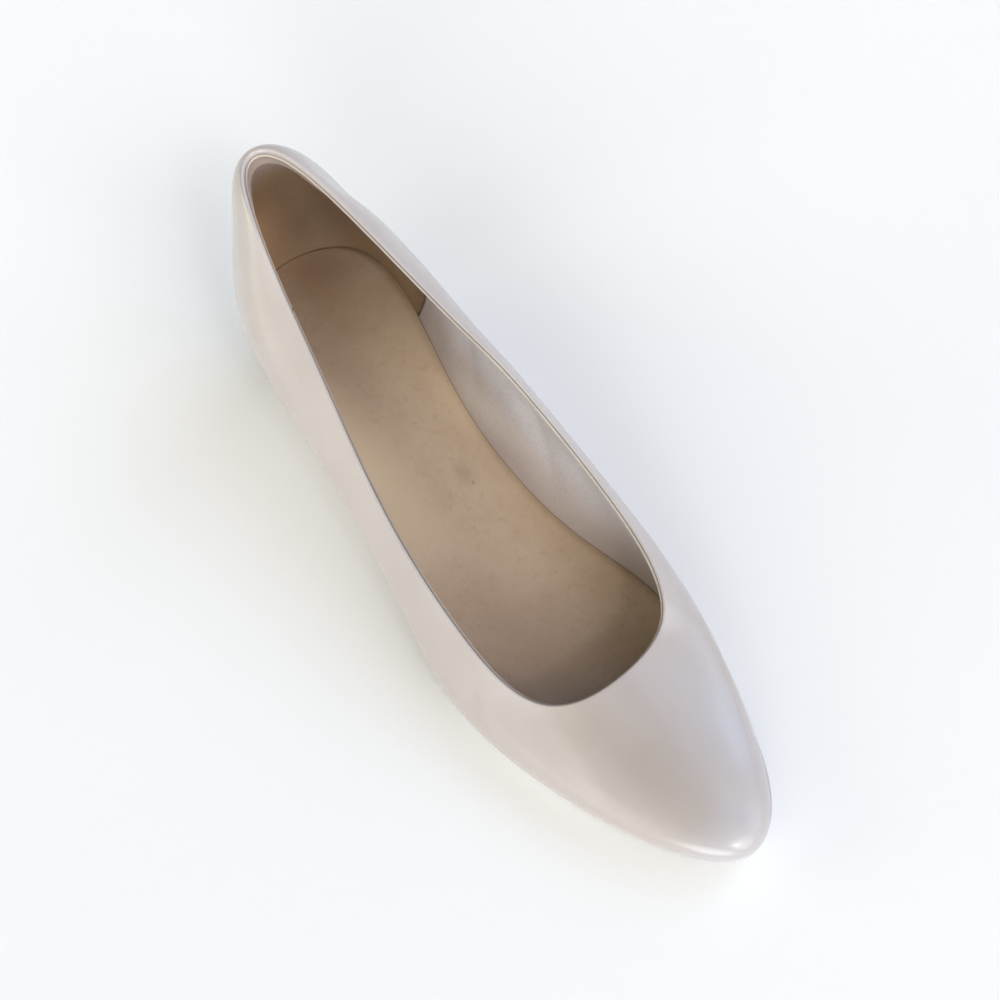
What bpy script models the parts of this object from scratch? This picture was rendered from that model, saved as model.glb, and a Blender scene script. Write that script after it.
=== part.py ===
# Women's slip-on pump on a low covered wedge, for the right foot, standing on its sole.
# Sizes below are in millimetres in the shoe's own frame: x runs from heel to toe,
# y towards the big toe (medial side positive), z up from the floor.
# The finished objects are in metres, with the origin at the bottom centre of the shoe.

import bpy
import bmesh
import math
import numpy as np

MM = 0.001

# ---- sizes of the pieces -------------------------------------------------------
WALL = 1.8            # upper: leather and lining together, away from the padded heel collar
RIM_CROWN = 0.5       # rounding of the collar edge above the wall
GAP = 0.3             # clearance between pieces that meet
SOLE_T = 3.2          # outsole thickness
SOLE_EDGE = 0.5       # chamfer along the outsole's lower edge
INSOLE_T = 3.4        # footbed thickness
INSOLE_CUP = 0.8      # how far the footbed's middle dips below its edge
WEDGE_TIP = 0.9       # thinnest front end of the wedge
WEDGE_WAIST = 0.8     # hollow of the wedge's side between its top and its base

# ---- how finely the surfaces are divided ---------------------------------------
AROUND = 96           # stations once around the shoe, a multiple of the section count
OUTER_STEPS = 11      # steps up the outside of the wall, from sole to collar
INNER_STEPS = 8       # steps up the inside of the wall
ACROSS = 6            # strips across the sole pieces
SHARP_ANGLE = math.radians(38.0)

# ---- side profile: heights along the length -------------------------------------
# underside of the outsole: flat heel, low arch, flat tread at the ball, toe spring
GROUND_COLUMNS = ("x", "z")
GROUND = [
    (-12.0, 0.0),
    (66.0, 0.0),
    (106.0, 1.8),
    (140.0, 0.0),
    (182.0, 0.0),
    (216.0, 2.2),
    (250.0, 7.6),
]
# seat line: where the upper's lower edge and the footbed rest on the wedge
SEAT_COLUMNS = ("x", "z")
SEAT = [
    (-12.0, 29.0),
    (38.0, 27.2),
    (101.0, 15.6),
    (152.0, 4.4),
    (174.0, 3.4),
]

# ---- sections once around the shoe ----------------------------------------------
# feather_x, feather_y      where the wall meets the sole
# bulge_out, bulge_up       how the wall leaves the sole: outwards and upwards
# top_x, top_y, top_z       inner edge of the collar
# shoulder_out, shoulder_down   how the wall comes up to the collar from outside and below
# sole_out                  outsole edge beyond the feather line (negative: tucked under)
# wall                      thickness of the wall at the collar, padded round the heel
SECTION_COLUMNS = ("feather_x", "feather_y", "bulge_out", "bulge_up",
                   "top_x", "top_y", "top_z", "shoulder_out", "shoulder_down", "sole_out", "wall")
SECTIONS = {
    "heel_back":   (  2.0,   0.0,  9.0, 15.0,  -2.5,  -1.2, 80.5, 10.0,  6.9, -4.5, 2.8),
    "heel_lat":    (  9.0, -19.0,  6.5, 14.0,  13.6,  -9.0, 78.0,  7.6,  7.5, -5.5, 2.3),
    "quarter_lat": ( 34.5, -26.0,  8.5, 14.5,  33.5, -14.0, 66.5, 13.5, 10.5, -4.5, 1.9),
    "waist_lat":   ( 72.5, -26.0, 12.0, 16.0,  64.5, -20.0, 53.0, 13.5, 12.0, -4.0, 1.8),
    "arch_lat":    (121.0, -32.5,  9.5, 14.5, 105.0, -27.5, 39.5,  7.5, 11.0, -2.5, 1.8),
    "joint_lat":   (158.0, -41.0,  7.0, 13.5, 143.5, -30.5, 31.0,  5.5, 11.5, -1.5, 1.8),
    "vamp_lat":    (197.5, -34.5,  5.0, 12.0, 171.5, -28.0, 24.0,  9.5,  8.5, -1.0, 1.8),
    "toe_lat":     (234.0, -19.0,  4.0, 11.0, 185.5, -17.5, 24.5, 17.0,  7.0, -0.5, 1.8),
    "toe":         (250.0,  -1.0,  2.5, 10.0, 188.5,  -0.5, 26.0, 24.0,  6.0,  0.0, 1.8),
    "toe_med":     (237.5,  16.5,  2.0, 10.0, 184.5,  16.0, 25.0, 18.0,  7.0,  1.0, 1.8),
    "vamp_med":    (203.5,  28.5,  3.0, 11.5, 173.5,  26.0, 27.5, 10.5,  9.0,  1.8, 1.8),
    "joint_med":   (165.0,  31.0,  6.5, 14.0, 145.5,  30.5, 32.5,  7.5, 12.0,  1.0, 1.8),
    "arch_med":    (128.0,  21.0,  9.5, 18.0, 101.0,  28.0, 48.0,  9.5, 12.0, -2.0, 1.8),
    "waist_med":   ( 81.0,  18.5, 11.5, 19.0,  74.0,  23.5, 57.5, 12.5, 11.5, -4.0, 1.8),
    "quarter_med": ( 36.0,  26.5,  9.0, 14.0,  35.0,  17.5, 69.5, 13.0,  9.0, -4.5, 2.1),
    "heel_med":    (  9.5,  21.0,  8.5, 12.5,   2.4,   9.6, 80.6, 13.0,  5.3, -5.5, 3.0),
}

# ---- colours, as seen on the shoe -------------------------------------------------
FINISHES = {
    # node:    (red, green, blue, roughness, metallic)
    "upper":   (214, 205, 197, 0.38, 0.0),
    "insole":  (172, 147, 124, 0.60, 0.0),
    "wedge":   (206, 196, 188, 0.42, 0.0),
    "outsole": (186, 184, 190, 0.65, 0.0),
}


def periodic_spline(rows, count):
    """Smooth closed curve through the rows, sampled at count stations."""
    n = len(rows)
    ring = np.eye(n)
    bend = np.linalg.solve(4.0 * ring + np.roll(ring, 1, 0) + np.roll(ring, -1, 0),
                           6.0 * (np.roll(rows, -1, 0) - 2.0 * rows + np.roll(rows, 1, 0)))
    at = np.arange(count) * n / count
    first = at.astype(int)
    b = (at - first)[:, None]
    a = 1.0 - b
    nxt = (first + 1) % n
    return rows[first] * a + rows[nxt] * b + ((a ** 3 - a) * bend[first] + (b ** 3 - b) * bend[nxt]) / 6.0


def profile(table, x):
    """Smooth height along the length through a table of (x, z) with no overshoot."""
    xs, zs = np.array(table, float).T
    step = np.diff(xs)
    rise = np.diff(zs) / step
    slope = np.zeros(len(xs))
    slope[0], slope[-1] = rise[0], rise[-1]
    for k in range(1, len(xs) - 1):
        if rise[k - 1] * rise[k] > 0.0:
            wa, wb = 2.0 * step[k] + step[k - 1], step[k] + 2.0 * step[k - 1]
            slope[k] = (wa + wb) / (wa / rise[k - 1] + wb / rise[k])
    x = np.asarray(x, float)
    inside = np.clip(x, xs[0], xs[-1])
    k = np.clip(np.searchsorted(xs, inside) - 1, 0, len(xs) - 2)
    t = (inside - xs[k]) / step[k]
    z = (zs[k] * (1 + 2 * t) * (1 - t) ** 2 + slope[k] * step[k] * t * (1 - t) ** 2
         + zs[k + 1] * t * t * (3 - 2 * t) + slope[k + 1] * step[k] * t * t * (t - 1))
    return z + slope[-1] * (x - inside) * (x > xs[-1])


def ground(x):
    return profile(GROUND, x)


def sole_top(x):
    return ground(x) + SOLE_T


def seat(x):
    """The seat follows the wedge at the back and lies on the outsole in front of it."""
    return np.maximum(profile(SEAT, np.minimum(x, SEAT[-1][0])), sole_top(x) + GAP)


def outward(outline):
    """Unit directions pointing out of a closed plan outline."""
    along = np.roll(outline, -1, 0) - np.roll(outline, 1, 0)
    out = np.column_stack((along[:, 1], -along[:, 0]))
    out /= np.linalg.norm(out, axis=1)[:, None]
    return out * np.sign(np.sum(out * (outline - outline.mean(0))))


def column(sections, name):
    return sections[:, SECTION_COLUMNS.index(name)]


class Last:
    """The shape the shoe is made on: section values at every station around it."""

    def __init__(self, stations):
        s = periodic_spline(np.array(list(SECTIONS.values()), float), stations)
        self.feather = np.column_stack((column(s, "feather_x"), column(s, "feather_y")))
        self.out = outward(self.feather)
        self.seat = seat(self.feather[:, 0])
        self.bulge_out, self.bulge_up = column(s, "bulge_out"), column(s, "bulge_up")
        self.top = np.column_stack((column(s, "top_x"), column(s, "top_y"), column(s, "top_z")))
        self.top_out = outward(self.top[:, :2])
        lean = np.hypot(column(s, "shoulder_out"), column(s, "shoulder_down"))
        self.lean_out = column(s, "shoulder_out") / lean
        self.lean_down = column(s, "shoulder_down") / lean
        self.shoulder_out, self.shoulder_down = column(s, "shoulder_out"), column(s, "shoulder_down")
        self.sole_out = column(s, "sole_out")
        self.wall = column(s, "wall")

    def wall_controls(self):
        """Four control rings of the outside: feather, bulge, shoulder, collar."""
        out3 = np.column_stack((self.out, np.zeros(len(self.out))))
        top3 = np.column_stack((self.top_out, np.zeros(len(self.out))))
        up = np.array((0.0, 0.0, 1.0))
        foot = np.column_stack((self.feather, self.seat))
        bulge = foot + out3 * self.bulge_out[:, None] + up * self.bulge_up[:, None]
        collar = self.top + top3 * (self.wall * self.lean_down)[:, None]
        shoulder = collar + top3 * self.shoulder_out[:, None] - up * self.shoulder_down[:, None]
        return foot, bulge, shoulder, collar

    def outside(self, v):
        """Point rings on the outside of the wall at heights v from 0 (sole) to 1 (collar)."""
        a, b, c, d = self.wall_controls()
        return [(1 - t) ** 3 * a + 3 * (1 - t) ** 2 * t * b + 3 * (1 - t) * t * t * c + t ** 3 * d for t in v]

    def wall_normals(self, t):
        """Outward unit normals of the wall at height t."""
        low, high = max(t - 1e-3, 0.0), min(t + 1e-3, 1.0)
        here, below, above = self.outside((t, low, high))
        around = np.roll(here, -1, 0) - np.roll(here, 1, 0)
        n = np.cross(above - below, around)
        n /= np.linalg.norm(n, axis=1)[:, None]
        side = np.sum(n[:, :2] * self.out, axis=1)
        return n * np.sign(np.sum(side))

    def thickness(self, t):
        """Wall thickness at height t: even lower down, growing to the collar's own thickness."""
        return WALL + (self.wall - WALL) * t * t

    def inside(self, v):
        """Rings of the lining side, one wall thickness in, from sole (0) to collar (1)."""
        rings = []
        for t in v:
            if t == 0.0:
                slant = np.hypot(self.bulge_out, self.bulge_up) / self.bulge_up
                flat = self.feather - self.out * (WALL * slant)[:, None]
                rings.append(np.column_stack((flat, self.seat)))
            elif t == 1.0:
                rings.append(self.top - np.array((0.0, 0.0, 1.0)) * (self.wall * self.lean_out)[:, None])
            else:
                rings.append(self.outside((t,))[0] - self.wall_normals(t) * self.thickness(t)[:, None])
        return rings

    def inside_at(self, height):
        """Plan outline of the inside of the wall, at a height above the seat line."""
        rings = np.array(self.inside((0.0, 0.06, 0.12, 0.18, 0.24, 0.30)))
        rel = rings[:, :, 2] - self.seat
        plan = np.zeros((len(self.seat), 2))
        for i in range(len(self.seat)):
            for axis in (0, 1):
                plan[i, axis] = np.interp(height, rel[:, i], rings[:, i, axis])
        return plan

    def sole_outline(self, inset=0.0):
        return self.feather + self.out * (self.sole_out - inset)[:, None]


def strips(outline, last_row):
    """Plan points in rows across a closed outline, lateral edge to medial edge, from the heel on."""
    n = len(outline)
    t = np.linspace(0.0, 1.0, ACROSS + 1)[:, None]
    return np.array([outline[i] * (1 - t) + outline[-i % n] * t for i in range(last_row + 1)])


def ring_solid(rings):
    """Closed wall from rings of points: each ring joins the next, and the last joins the first."""
    count, n = len(rings), len(rings[0])
    verts = np.concatenate(rings)
    faces = []
    for k in range(count):
        a, b = k * n, ((k + 1) % count) * n
        for i in range(n):
            j = (i + 1) % n
            faces.append((a + i, a + j, b + j, b + i))
    return verts, faces


def slab_solid(layers):
    """Closed slab from layers of strips, top layer first; only edges of the middle layers are used."""
    rows, cols = layers[0].shape[:2]
    verts, faces = [], []

    def face(*points):
        start = len(verts)
        verts.extend(points)
        faces.append(tuple(range(start, start + len(points))))

    for grid in (layers[0], layers[-1]):
        for i in range(rows - 1):
            for j in range(cols - 1):
                face(grid[i, j], grid[i, j + 1], grid[i + 1, j + 1], grid[i + 1, j])
    border = [(i, 0) for i in range(rows - 1, 0, -1)]
    border += [(i, cols - 1) for i in range(rows)]
    border += [(rows - 1, j) for j in range(cols - 2, -1, -1)]
    for upper_layer, lower_layer in zip(layers, layers[1:]):
        for p, q in zip(border, border[1:]):
            face(upper_layer[p], upper_layer[q], lower_layer[q], lower_layer[p])
    return np.array(verts), faces


def with_heights(plan, heights):
    return np.concatenate((plan, heights[..., None]), axis=-1)


def make_upper(last):
    outer = last.outside(np.linspace(0.0, 1.0, OUTER_STEPS + 1))
    inner = last.inside(np.linspace(0.0, 1.0, INNER_STEPS + 1))
    up = np.array((0.0, 0.0, 1.0))
    top3 = np.column_stack((last.top_out, np.zeros(AROUND)))
    rise = up * last.lean_down[:, None] - top3 * last.lean_out[:, None]
    crown = (outer[-1] + inner[-1]) / 2.0 + rise * RIM_CROWN
    return ring_solid(outer + [crown] + inner[::-1])


def make_insole(last):
    half = AROUND // 2
    low = strips(last.inside_at(0.0) - last.out * (GAP + 0.1), half)
    high = strips(last.inside_at(INSOLE_T) - last.out * (GAP + 0.1), half)
    t = np.linspace(-1.0, 1.0, ACROSS + 1)
    width = np.linalg.norm(high[:, -1] - high[:, 0], axis=1)
    dip = INSOLE_CUP * (width / width.max())[:, None] * (1.0 - t ** 2)
    # the top's height comes from the lower outline, so the edge is the same thickness all round
    bottom = with_heights(low, seat(low[..., 0]))
    top = with_heights(high, seat(low[..., 0]) + INSOLE_T - dip)
    return slab_solid([top, bottom])


def make_wedge(last):
    half = AROUND // 2
    head = strips(last.feather - last.out * GAP, half)
    foot = strips(last.sole_outline(GAP), half)
    thick = seat(head[..., 0]) - GAP - (sole_top(foot[..., 0]) + GAP)
    end = max(i for i in range(half) if thick[i].min() >= WEDGE_TIP)
    head, foot = head[:end + 1], foot[:end + 1]
    top = with_heights(head, seat(head[..., 0]) - GAP)
    bottom = with_heights(foot, sole_top(foot[..., 0]) + GAP)
    side = np.zeros((AROUND, 2)) + last.out * WEDGE_WAIST
    pull = strips(side, half)[:end + 1]
    share = np.clip((top[..., 2] - bottom[..., 2]) / SEAT[0][1], 0.0, 1.0)[..., None]
    middle = (top + bottom) / 2.0
    middle[..., :2] -= pull * share
    return slab_solid([top, middle, bottom])


def make_outsole(last):
    half = AROUND // 2
    rim = strips(last.sole_outline(), half)
    tread = strips(last.sole_outline(SOLE_EDGE), half)
    top = with_heights(rim, sole_top(rim[..., 0]))
    edge = with_heights(rim, ground(rim[..., 0]) + SOLE_EDGE)
    bottom = with_heights(tread, ground(tread[..., 0]))
    return slab_solid([top, edge, bottom])


def linear(channel):
    c = channel / 255.0
    return c / 12.92 if c <= 0.04045 else ((c + 0.055) / 1.055) ** 2.4


def add_object(name, verts, faces):
    mesh = bpy.data.meshes.new(name)
    mesh.from_pydata([tuple(v) for v in verts], [], faces)
    bm = bmesh.new()
    bm.from_mesh(mesh)
    bmesh.ops.remove_doubles(bm, verts=bm.verts, dist=1e-6)
    bmesh.ops.dissolve_degenerate(bm, dist=1e-7, edges=bm.edges)
    bmesh.ops.recalc_face_normals(bm, faces=bm.faces)
    for f in bm.faces:
        f.smooth = True
    bm.to_mesh(mesh)
    bm.free()
    mesh.set_sharp_from_angle(angle=SHARP_ANGLE)
    red, green, blue, roughness, metallic = FINISHES[name]
    material = bpy.data.materials.new(name)
    material.use_nodes = True
    shader = next(n for n in material.node_tree.nodes if n.type == "BSDF_PRINCIPLED")
    shader.inputs["Base Color"].default_value = (linear(red), linear(green), linear(blue), 1.0)
    shader.inputs["Roughness"].default_value = roughness
    shader.inputs["Metallic"].default_value = metallic
    material.diffuse_color = shader.inputs["Base Color"].default_value
    mesh.materials.append(material)
    piece = bpy.data.objects.new(name, mesh)
    bpy.context.scene.collection.objects.link(piece)
    return piece


def main():
    for old in list(bpy.data.objects):
        bpy.data.objects.remove(old, do_unlink=True)
    last = Last(AROUND)
    pieces = {
        "outsole": make_outsole(last),
        "wedge": make_wedge(last),
        "insole": make_insole(last),
        "upper": make_upper(last),
    }
    every = np.concatenate([verts for verts, faces in pieces.values()])
    low, high = every.min(0), every.max(0)
    centre = np.array(((low[0] + high[0]) / 2.0, (low[1] + high[1]) / 2.0, low[2]))
    for name, (verts, faces) in pieces.items():
        add_object(name, (verts - centre) * MM, faces)


main()
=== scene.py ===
# Looks of a women's slip-on pump on a low covered wedge, right foot, standing on its sole.
# Surfaces are worked out in millimetres in the shoe's own frame (x heel to toe, y towards the
# big toe, z up), from the same sizes and section tables as the part, and placed in metres.

import bpy
import bmesh
import math
import numpy as np
from mathutils import Matrix, Quaternion, Vector, noise


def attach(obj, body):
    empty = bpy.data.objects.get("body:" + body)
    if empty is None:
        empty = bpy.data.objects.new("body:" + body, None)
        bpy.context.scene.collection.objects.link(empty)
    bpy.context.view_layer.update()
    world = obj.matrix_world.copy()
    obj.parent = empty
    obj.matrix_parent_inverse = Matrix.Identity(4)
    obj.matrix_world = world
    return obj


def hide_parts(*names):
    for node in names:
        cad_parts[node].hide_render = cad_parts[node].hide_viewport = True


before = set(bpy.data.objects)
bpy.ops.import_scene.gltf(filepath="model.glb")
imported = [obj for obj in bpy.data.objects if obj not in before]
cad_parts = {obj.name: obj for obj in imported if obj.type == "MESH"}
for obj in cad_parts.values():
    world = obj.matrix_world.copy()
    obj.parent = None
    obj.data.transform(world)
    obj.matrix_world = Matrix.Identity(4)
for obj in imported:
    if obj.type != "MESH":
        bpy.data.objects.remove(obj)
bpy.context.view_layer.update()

MM = 0.001
ORIGIN = np.array((119.867476, -3.248201, 0.0))   # shoe-frame point at the row's origin

# ---- sizes shared with the part ---------------------------------------------------
WALL = 1.8
GAP = 0.3
SOLE_T = 3.2
INSOLE_T = 3.4
INSOLE_CUP = 0.8
WEDGE_TIP = 0.06                 # the leather cover runs on to a feather edge
WEDGE_WAIST = 0.8
GROUND = [(-12.0, 0.0), (66.0, 0.0), (106.0, 1.8), (140.0, 0.0), (182.0, 0.0), (216.0, 2.2), (250.0, 7.6)]
SEAT = [(-12.0, 29.0), (38.0, 27.2), (101.0, 15.6), (152.0, 4.4), (174.0, 3.4)]
SECTION_COLUMNS = ("feather_x", "feather_y", "bulge_out", "bulge_up",
                   "top_x", "top_y", "top_z", "shoulder_out", "shoulder_down", "sole_out", "wall")
SECTIONS = {
    "heel_back":   (  2.0,   0.0,  9.0, 15.0,  -2.5,  -1.2, 80.5, 10.0,  6.9, -4.5, 2.8),
    "heel_lat":    (  9.0, -19.0,  6.5, 14.0,  13.6,  -9.0, 78.0,  7.6,  7.5, -5.5, 2.3),
    "quarter_lat": ( 34.5, -26.0,  8.5, 14.5,  33.5, -14.0, 66.5, 13.5, 10.5, -4.5, 1.9),
    "waist_lat":   ( 72.5, -26.0, 12.0, 16.0,  64.5, -20.0, 53.0, 13.5, 12.0, -4.0, 1.8),
    "arch_lat":    (121.0, -32.5,  9.5, 14.5, 105.0, -27.5, 39.5,  7.5, 11.0, -2.5, 1.8),
    "joint_lat":   (158.0, -41.0,  7.0, 13.5, 143.5, -30.5, 31.0,  5.5, 11.5, -1.5, 1.8),
    "vamp_lat":    (197.5, -34.5,  5.0, 12.0, 171.5, -28.0, 24.0,  9.5,  8.5, -1.0, 1.8),
    "toe_lat":     (234.0, -19.0,  4.0, 11.0, 185.5, -17.5, 24.5, 17.0,  7.0, -0.5, 1.8),
    "toe":         (250.0,  -1.0,  2.5, 10.0, 188.5,  -0.5, 26.0, 24.0,  6.0,  0.0, 1.8),
    "toe_med":     (237.5,  16.5,  2.0, 10.0, 184.5,  16.0, 25.0, 18.0,  7.0,  1.0, 1.8),
    "vamp_med":    (203.5,  28.5,  3.0, 11.5, 173.5,  26.0, 27.5, 10.5,  9.0,  1.8, 1.8),
    "joint_med":   (165.0,  31.0,  6.5, 14.0, 145.5,  30.5, 32.5,  7.5, 12.0,  1.0, 1.8),
    "arch_med":    (128.0,  21.0,  9.5, 18.0, 101.0,  28.0, 48.0,  9.5, 12.0, -2.0, 1.8),
    "waist_med":   ( 81.0,  18.5, 11.5, 19.0,  74.0,  23.5, 57.5, 12.5, 11.5, -4.0, 1.8),
    "quarter_med": ( 36.0,  26.5,  9.0, 14.0,  35.0,  17.5, 69.5, 13.0,  9.0, -4.5, 2.1),
    "heel_med":    (  9.5,  21.0,  8.5, 12.5,   2.4,   9.6, 80.6, 13.0,  5.3, -5.5, 3.0),
}
ROWS = np.array(list(SECTIONS.values()), float)
COUNT = len(ROWS)
NEIGHBOUR = 1.0 / 6.0            # spacing that outward directions are measured over, in rows

# ---- layers of the wall, as depths below its outside ------------------------------
LINING = 0.88                    # what the lining and its edge strip take of the wall
BIND_WIDTH = 0.98                # folded edge strip around the collar
HEEL_PAD = 3.1                   # how far the padding stands into the heel, just under the collar

# lining seams, as stations in rows around the shoe: at the seat and at the collar
SEAM_LAT = (2.22, 2.28)
SEAM_MED = (13.73, 13.70)
BIND_JOIN = 2.28

# ---- soft troughs and ridges of the leather ----------------------------------------
# station around the shoe (rows) and height on the wall (0 sole, 1 collar), half sizes
# in the same measures, how far it leans along with height, and depth in millimetres
CREASE_COLUMNS = ("station", "height", "around", "up", "lean", "depth")
CREASES = {
    "heel_dent":       (14.56, 0.67, 0.30, 0.38,  0.0, -2.2),
    "quarter_hollow":  (14.05, 0.58, 0.40, 0.30,  0.0, -0.70),
    "waist_hollow":    (12.90, 0.60, 0.45, 0.25,  0.2, -0.40),
    "lateral_hollow":  ( 3.10, 0.62, 0.60, 0.22, -0.3, -0.35),
    "lateral_swell":   ( 2.05, 0.45, 0.35, 0.25,  0.0,  0.25),
    "ball_fold_lat":   ( 5.45, 0.60, 0.10, 0.28,  0.4, -0.16),
    "ball_ridge_lat":  ( 5.68, 0.60, 0.12, 0.28,  0.4,  0.12),
    "ball_fold_med":   (10.60, 0.58, 0.10, 0.26, -0.4, -0.16),
    "vamp_dip":        ( 8.10, 0.72, 0.90, 0.14,  0.0, -0.18),
}
LINING_FOLDS = {
    "seam_puff":       (13.42, 0.34, 0.16, 0.30,  0.5, -0.60),
    "seam_trough":     (13.12, 0.36, 0.12, 0.34,  0.6,  0.50),
    "waist_puff":      (12.55, 0.42, 0.24, 0.30,  0.5, -0.60),
    "waist_trough":    (12.18, 0.40, 0.10, 0.30,  0.5,  0.48),
    "arch_puff":       (11.75, 0.45, 0.30, 0.34,  0.3, -0.55),
    "ball_trough":     (11.25, 0.45, 0.14, 0.34,  0.3,  0.25),
}


# ==== surfaces of the shoe ===========================================================
_ring = np.eye(COUNT)
BEND = np.linalg.solve(4.0 * _ring + np.roll(_ring, 1, 0) + np.roll(_ring, -1, 0),
                       6.0 * (np.roll(ROWS, -1, 0) - 2.0 * ROWS + np.roll(ROWS, 1, 0)))


def sections(u):
    """Section values at stations u, counted in rows around the shoe."""
    u = np.mod(np.asarray(u, float), COUNT)
    first = np.floor(u).astype(int) % COUNT
    b = (u - np.floor(u))[..., None]
    a = 1.0 - b
    nxt = (first + 1) % COUNT
    return ROWS[first] * a + ROWS[nxt] * b + ((a ** 3 - a) * BEND[first] + (b ** 3 - b) * BEND[nxt]) / 6.0


def column(s, name):
    return s[..., SECTION_COLUMNS.index(name)]


def profile(table, x):
    """Smooth height along the length through a table of (x, z) with no overshoot."""
    xs, zs = np.array(table, float).T
    step = np.diff(xs)
    rise = np.diff(zs) / step
    slope = np.zeros(len(xs))
    slope[0], slope[-1] = rise[0], rise[-1]
    for k in range(1, len(xs) - 1):
        if rise[k - 1] * rise[k] > 0.0:
            wa, wb = 2.0 * step[k] + step[k - 1], step[k] + 2.0 * step[k - 1]
            slope[k] = (wa + wb) / (wa / rise[k - 1] + wb / rise[k])
    x = np.asarray(x, float)
    inside = np.clip(x, xs[0], xs[-1])
    k = np.clip(np.searchsorted(xs, inside) - 1, 0, len(xs) - 2)
    t = (inside - xs[k]) / step[k]
    z = (zs[k] * (1 + 2 * t) * (1 - t) ** 2 + slope[k] * step[k] * t * (1 - t) ** 2
         + zs[k + 1] * t * t * (3 - 2 * t) + slope[k + 1] * step[k] * t * t * (t - 1))
    return z + slope[-1] * (x - inside) * (x > xs[-1])


def ground(x):
    return profile(GROUND, x)


def sole_top(x):
    return ground(x) + SOLE_T


def seat(x):
    return np.maximum(profile(SEAT, np.minimum(x, SEAT[-1][0])), sole_top(x) + GAP)


def plan_out(u, x_name, y_name):
    """Unit directions out of a plan outline."""
    along = sections(u + NEIGHBOUR) - sections(u - NEIGHBOUR)
    out = np.stack((column(along, y_name), -column(along, x_name)), -1)
    return out / np.linalg.norm(out, axis=-1, keepdims=True)


def flat3(v):
    return np.concatenate((v, np.zeros(v.shape[:-1] + (1,))), -1)


def controls(u):
    """Four control points of the wall's outside: feather, bulge, shoulder, collar."""
    s = sections(u)
    out = flat3(plan_out(u, "feather_x", "feather_y"))
    top_out = flat3(plan_out(u, "top_x", "top_y"))
    up = np.array((0.0, 0.0, 1.0))
    fx = column(s, "feather_x")
    foot = np.stack((fx, column(s, "feather_y"), seat(fx)), -1)
    bulge = foot + out * column(s, "bulge_out")[..., None] + up * column(s, "bulge_up")[..., None]
    so, sd = column(s, "shoulder_out"), column(s, "shoulder_down")
    top = np.stack((column(s, "top_x"), column(s, "top_y"), column(s, "top_z")), -1)
    collar = top + top_out * (column(s, "wall") * sd / np.hypot(so, sd))[..., None]
    shoulder = collar + top_out * so[..., None] - up * sd[..., None]
    return foot, bulge, shoulder, collar


def shell(u, t):
    """Outside of the upper, unworn, at station u and height t, 0 at the sole and 1 at the collar."""
    a, b, c, d = controls(u)
    t = np.asarray(t, float)[..., None]
    return (1 - t) ** 3 * a + 3 * (1 - t) ** 2 * t * b + 3 * (1 - t) * t * t * c + t ** 3 * d


def wall_normal(u, t):
    t = np.asarray(t, float)
    around = shell(u + 0.03, t) - shell(u - 0.03, t)
    rise = shell(u, np.minimum(t + 2e-3, 1.0)) - shell(u, np.maximum(t - 2e-3, 0.0))
    n = np.cross(around, rise)
    return n / np.linalg.norm(n, axis=-1, keepdims=True)


def folds(table, u, t):
    """Height of the listed troughs and ridges, none at the sole or the collar."""
    total = np.zeros(np.broadcast(u, t).shape)
    for values in table.values():
        row = dict(zip(CREASE_COLUMNS, values))
        above = np.asarray(t) - row["height"]
        away = (np.asarray(u) - row["station"] + COUNT / 2) % COUNT - COUNT / 2 - row["lean"] * above
        total = total + row["depth"] * np.exp(-(away / row["around"]) ** 2 - (above / row["up"]) ** 2)
    return total * smooth(t, 0.0, 0.15) * (1.0 - smooth(t, 0.84, 1.0))


def wall(u, t):
    """Outside of the upper with its soft creases."""
    u, t = np.broadcast_arrays(np.asarray(u, float), np.asarray(t, float))
    return shell(u, t) + wall_normal(u, t) * folds(CREASES, u, t)[..., None]


def thickness(u, t):
    """Wall thickness: even lower down, growing to the collar's own thickness."""
    return WALL + (column(sections(u), "wall") - WALL) * np.asarray(t, float) ** 2


def layer(u, t, depth):
    """A point inside the wall, at a depth below its outside."""
    u, t = np.broadcast_arrays(np.asarray(u, float), np.asarray(t, float))
    depth = np.broadcast_to(np.asarray(depth, float), u.shape)
    return wall(u, t) - wall_normal(u, t) * depth[..., None]


def seat_edge(u, depth):
    """Where a layer of the wall meets the seat."""
    s = sections(u)
    slant = np.hypot(column(s, "bulge_out"), column(s, "bulge_up")) / column(s, "bulge_up")
    flat = np.stack((column(s, "feather_x"), column(s, "feather_y")), -1)
    flat = flat - plan_out(u, "feather_x", "feather_y") * (depth * slant)[..., None]
    return np.concatenate((flat, seat(column(s, "feather_x"))[..., None]), -1)


def rim(u):
    """Collar edge: outer point, outward normal, and the way up along the wall."""
    a, b, c, d = controls(u)
    up = d - c
    return d, wall_normal(u, np.ones_like(u)), up / np.linalg.norm(up, axis=-1, keepdims=True)


def inside_outline(u, height):
    """Plan outline of the inside of the wall, at a height above the seat."""
    steps = np.array((0.0, 0.06, 0.12, 0.18, 0.24, 0.30))
    rings = [seat_edge(u, WALL)] + [layer(u, np.full_like(u, t), WALL) for t in steps[1:]]
    rings = np.array(rings)
    rel = rings[:, :, 2] - rings[0, :, 2]
    plan = np.zeros((len(u), 2))
    for i in range(len(u)):
        for axis in (0, 1):
            plan[i, axis] = np.interp(height, rel[:, i], rings[:, i, axis])
    return plan


def outline_out(u):
    return plan_out(u, "feather_x", "feather_y")


def sole_outline(u, inset):
    s = sections(u)
    flat = np.stack((column(s, "feather_x"), column(s, "feather_y")), -1)
    return flat + outline_out(u) * (column(s, "sole_out") - inset)[..., None]


def feather_outline(u, inset):
    s = sections(u)
    flat = np.stack((column(s, "feather_x"), column(s, "feather_y")), -1)
    return flat - outline_out(u) * inset


def stations(count):
    return np.arange(count) * COUNT / count


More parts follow.
